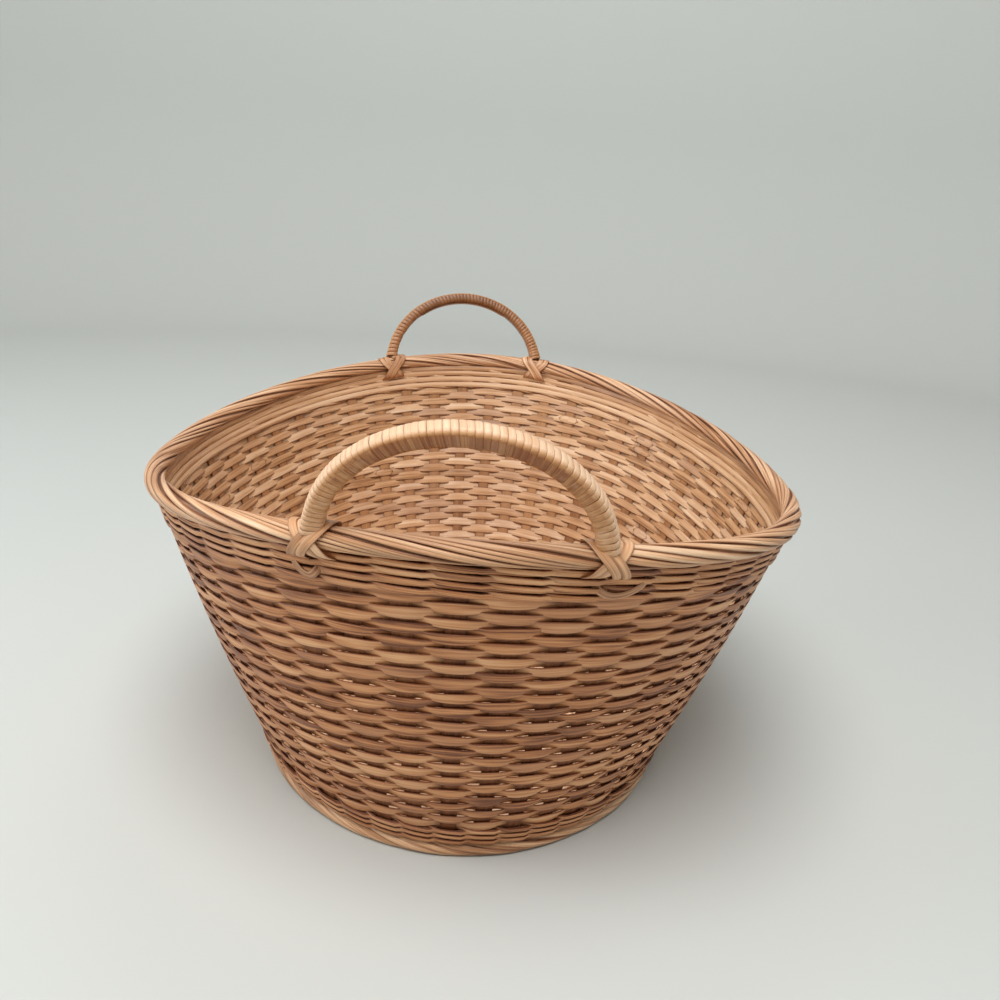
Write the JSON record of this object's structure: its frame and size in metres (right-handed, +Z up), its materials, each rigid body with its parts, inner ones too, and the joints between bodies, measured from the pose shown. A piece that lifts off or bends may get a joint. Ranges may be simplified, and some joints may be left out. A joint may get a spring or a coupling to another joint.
{
  "type": "gathering basket",
  "caption": "Oval open wicker gathering basket with flared woven sides, a rolled rim border and a bow handle bound with cane at each end.",
  "frame": {"origin": "on the ground, in the middle of the basket's foot", "axes": "+Z up, +Y along the basket's length from the front handle to the rear handle, +X to the right seen from the front handle"},
  "size_m": [0.4328, 0.546, 0.2873],
  "materials": {
    "border_willow": "peeled split rod, satin, with fine grain along the rod",
    "side_willow": "split rod, dull satin, mixed honey and tan",
    "base_willow": "dull split rod",
    "handle_rod": "dark rod, dull",
    "cane": "flat cane, glossy outside"
  },
  "bodies": {
    "root": {"stakes_and_border_1": "border_willow", "stakes_and_border_2": "border_willow", "stakes_and_border_3": "border_willow", "stakes_and_border_4": "border_willow", "stakes_and_border_5": "border_willow", "stakes_and_border_6": "border_willow", "stakes_and_border_7": "border_willow", "stakes_and_border_8": "border_willow", "bottom_wale_1": "side_willow", "weave_course_01": "side_willow", "weave_course_02": "side_willow", "weave_course_03": "side_willow", "weave_course_04": "side_willow", "weave_course_05": "side_willow", "weave_course_06": "side_willow", "weave_course_07": "side_willow", "weave_course_08": "side_willow", "weave_course_09": "side_willow", "weave_course_10": "side_willow", "weave_course_11": "side_willow", "weave_course_12": "side_willow", "weave_course_13": "side_willow", "weave_course_14": "side_willow", "weave_course_15": "side_willow", "top_wale_1": "side_willow", "top_wale_2": "side_willow", "foot_border": "border_willow", "base_cross_stick_1": "base_willow", "base_cross_stick_2": "base_willow", "base_cross_stick_3": "base_willow", "base_cross_stick_4": "base_willow", "base_cross_stick_5": "base_willow", "base_cross_stick_6": "base_willow", "base_cross_stick_7": "base_willow", "base_long_stick_1": "base_willow", "base_long_stick_2": "base_willow", "base_long_stick_3": "base_willow", "base_long_stick_4": "base_willow", "base_long_stick_5": "base_willow", "base_binding_round": "base_willow", "base_round_1": "base_willow", "base_round_2": "base_willow", "base_round_3": "base_willow", "base_round_4": "base_willow", "base_round_5": "base_willow", "front_handle_core": "handle_rod", "front_handle_wrap": "cane", "front_handle_lashing_left": "cane", "front_handle_lashing_right": "cane", "rear_handle_core": "handle_rod", "rear_handle_wrap": "cane", "rear_handle_lashing_left": "cane", "rear_handle_lashing_right": "cane"}
  },
  "joints": []
}
